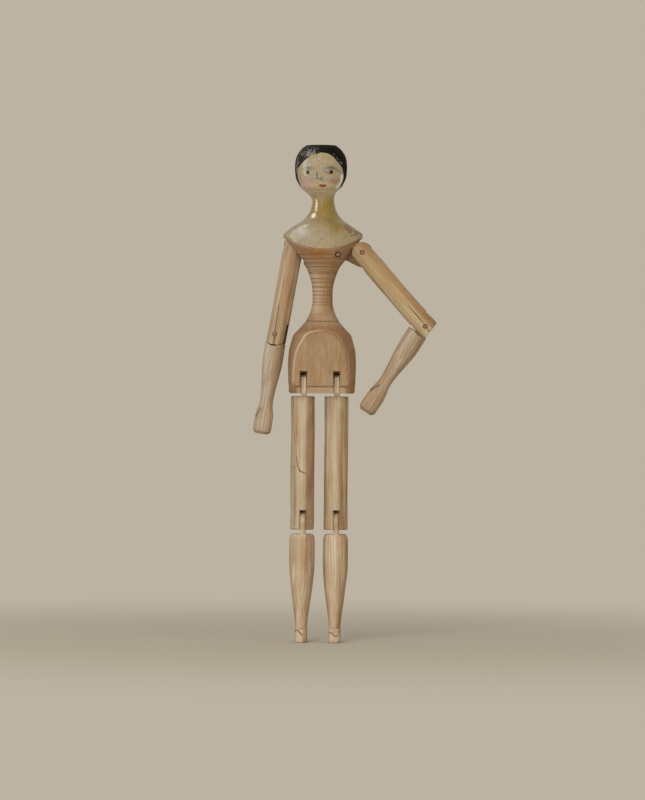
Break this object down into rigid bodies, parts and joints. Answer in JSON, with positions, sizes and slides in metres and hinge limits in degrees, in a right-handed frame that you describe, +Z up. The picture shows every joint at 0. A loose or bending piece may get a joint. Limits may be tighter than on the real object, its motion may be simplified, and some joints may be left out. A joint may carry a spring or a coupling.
{
  "type": "peg wooden doll",
  "caption": "Jointed wooden doll with a turned body, painted hair and face, slotted shoulders, elbows, hips and knees that turn on wooden pegs, flat hands and small feet.",
  "frame": {"origin": "middle of the narrow waist, on the body's axis", "axes": "+Z up along the body, the face towards -Y, the doll's own left at +X"},
  "size_m": [0.1098, 0.0352, 0.2988],
  "materials": {
    "body_wood": "bare turned pine below, yellowed varnish over pale paint above",
    "arm_wood": "bare whittled pine",
    "leg_wood": "bare whittled pine",
    "link_wood": "bare split wood, darkened",
    "peg_wood": "bare whittled hardwood"
  },
  "bodies": {
    "torso": {"torso": "body_wood", "left_chest_peg": "peg_wood", "right_chest_peg": "peg_wood", "left_hip_peg": "peg_wood", "right_hip_peg": "peg_wood"},
    "left_link": {"left_shoulder_link": "link_wood"},
    "left_upper_arm": {"left_upper_arm": "arm_wood", "left_shoulder_peg": "peg_wood", "left_elbow_peg": "peg_wood"},
    "left_forearm": {"left_forearm": "arm_wood"},
    "left_thigh": {"left_thigh": "leg_wood", "left_knee_peg": "peg_wood"},
    "left_lower_leg": {"left_lower_leg": "leg_wood"},
    "right_link": {"right_shoulder_link": "link_wood"},
    "right_upper_arm": {"right_upper_arm": "arm_wood", "right_shoulder_peg": "peg_wood", "right_elbow_peg": "peg_wood"},
    "right_forearm": {"right_forearm": "arm_wood"},
    "right_thigh": {"right_thigh": "leg_wood", "right_knee_peg": "peg_wood"},
    "right_lower_leg": {"right_lower_leg": "leg_wood"}
  },
  "joints": [
    {"name": "left_link_pivot", "type": "hinge", "parent": "torso", "child": "left_link", "pos_m": [0.0094, 0, 0.0264], "axis": [0, -1, 0], "range_deg": [-1, 6]},
    {"name": "left_shoulder", "type": "hinge", "parent": "left_link", "child": "left_upper_arm", "pos_m": [0.02371, 0, 0.02801], "axis": [0, -1, 0], "range_deg": [-2, 43]},
    {"name": "left_elbow", "type": "hinge", "parent": "left_upper_arm", "child": "left_forearm", "pos_m": [0.06202, 0, -0.01607], "axis": [0, -1, 0], "range_deg": [-2, 73]},
    {"name": "right_link_pivot", "type": "hinge", "parent": "torso", "child": "right_link", "pos_m": [-0.0094, 0, 0.0264], "axis": [0, 1, 0], "range_deg": [-1, 10]},
    {"name": "right_shoulder", "type": "hinge", "parent": "right_link", "child": "right_upper_arm", "pos_m": [-0.01754, 0, 0.03221], "axis": [0, 1, 0], "range_deg": [0, 38]},
    {"name": "right_elbow", "type": "hinge", "parent": "right_upper_arm", "child": "right_forearm", "pos_m": [-0.02706, 0, -0.02176], "axis": [0.2382, 0.9703, -0.042], "range_deg": [-3, 65]},
    {"name": "left_hip", "type": "hinge", "parent": "torso", "child": "left_thigh", "pos_m": [0.01005, -0.005, -0.0501], "axis": [-1, 0, 0], "range_deg": [-5, 90]},
    {"name": "left_knee", "type": "hinge", "parent": "left_thigh", "child": "left_lower_leg", "pos_m": [0.01005, 0.0007, -0.1336], "axis": [1, 0, 0], "range_deg": [0, 90]},
    {"name": "right_hip", "type": "hinge", "parent": "torso", "child": "right_thigh", "pos_m": [-0.01005, -0.005, -0.0501], "axis": [-1, 0, 0], "range_deg": [-5, 90]},
    {"name": "right_knee", "type": "hinge", "parent": "right_thigh", "child": "right_lower_leg", "pos_m": [-0.01005, 0.0007, -0.1336], "axis": [1, 0, 0], "range_deg": [0, 90]}
  ]
}
